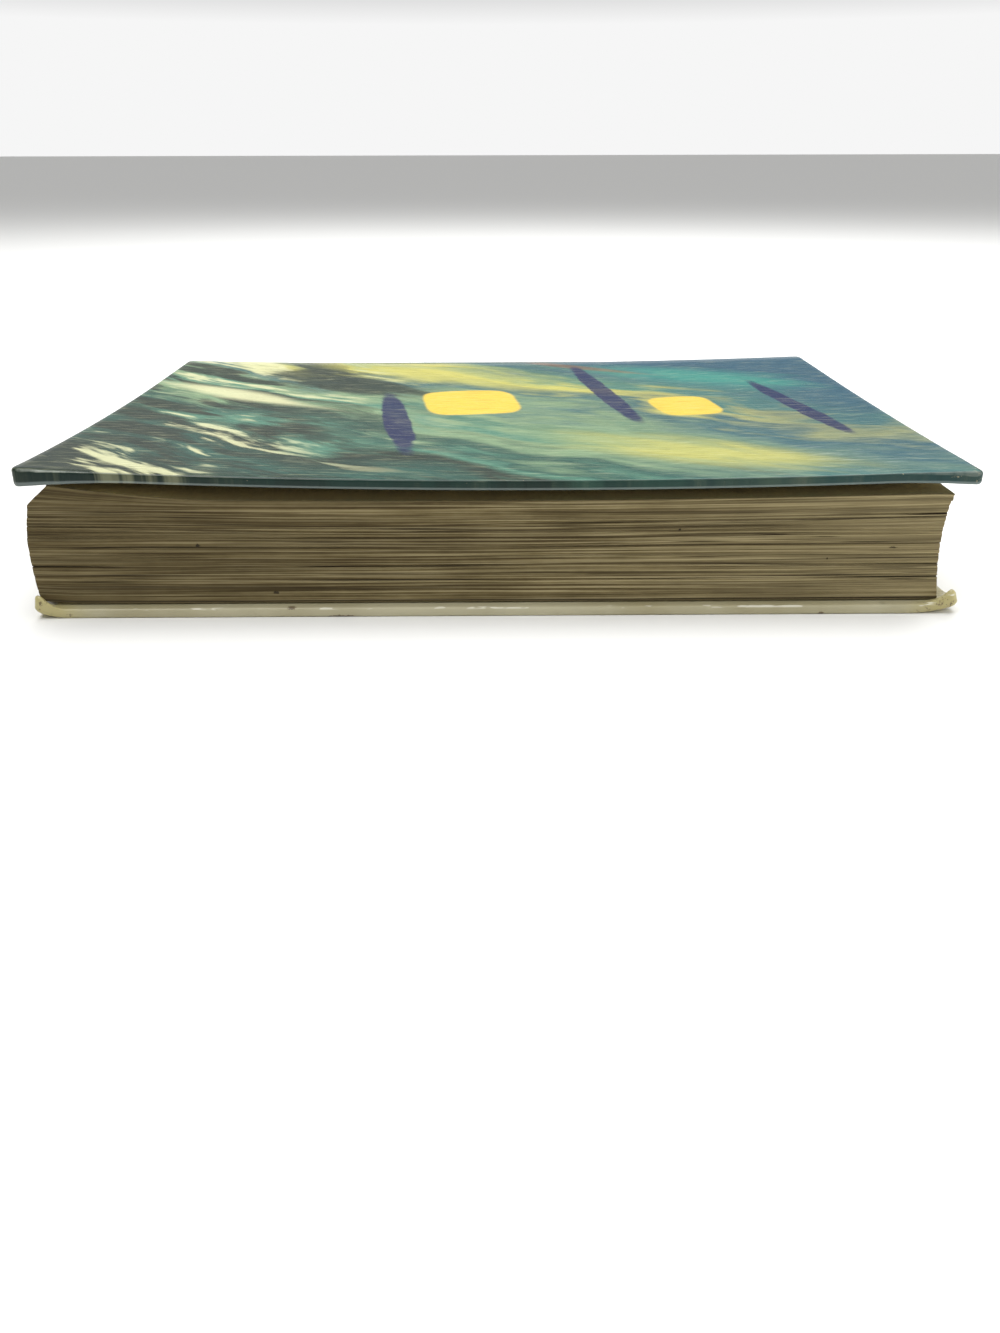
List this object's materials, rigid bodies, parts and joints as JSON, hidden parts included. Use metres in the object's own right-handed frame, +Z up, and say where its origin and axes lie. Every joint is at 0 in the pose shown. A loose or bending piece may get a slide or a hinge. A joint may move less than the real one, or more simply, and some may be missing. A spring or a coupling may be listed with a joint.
{
  "type": "textbook",
  "caption": "Thick case-bound textbook with a printed front cover, pale back cover, grooved joints and a rounded spine.",
  "frame": {"origin": "bottom centre of the closed book, on the surface it lies on", "axes": "+X along the spine from tail to head, +Y from the fore edge to the spine, +Z up through the thickness from the back cover to the front cover"},
  "size_m": [0.235, 0.184, 0.0385],
  "materials": {
    "page_paper": "matte",
    "endpaper": "matte",
    "binders_board": "matte",
    "printed_covering": "gloss",
    "cream_covering": "satin",
    "lining_cloth": "matte",
    "band_cloth": "matte"
  },
  "bodies": {
    "book_block": {"text_block": "page_paper", "front_flyleaf": "endpaper", "back_flyleaf": "endpaper", "spine_wrap": "printed_covering", "spine_board": "binders_board", "spine_lining": "lining_cloth", "head_band": "band_cloth", "tail_band": "band_cloth"},
    "front_cover": {"front_cover_wrap": "printed_covering", "front_board": "binders_board", "front_pastedown": "endpaper"},
    "back_cover": {"back_cover_wrap": "cream_covering", "back_board": "binders_board", "back_pastedown": "endpaper"}
  },
  "joints": [
    {"name": "front_joint", "type": "hinge", "parent": "book_block", "child": "front_cover", "pos_m": [0, 0.084, 0.0344], "axis": [-1, 0, 0], "range_deg": [0, 180]},
    {"name": "back_joint", "type": "hinge", "parent": "book_block", "child": "back_cover", "pos_m": [0, 0.084, 0.0003], "axis": [1, 0, 0], "range_deg": [0, 180]}
  ]
}
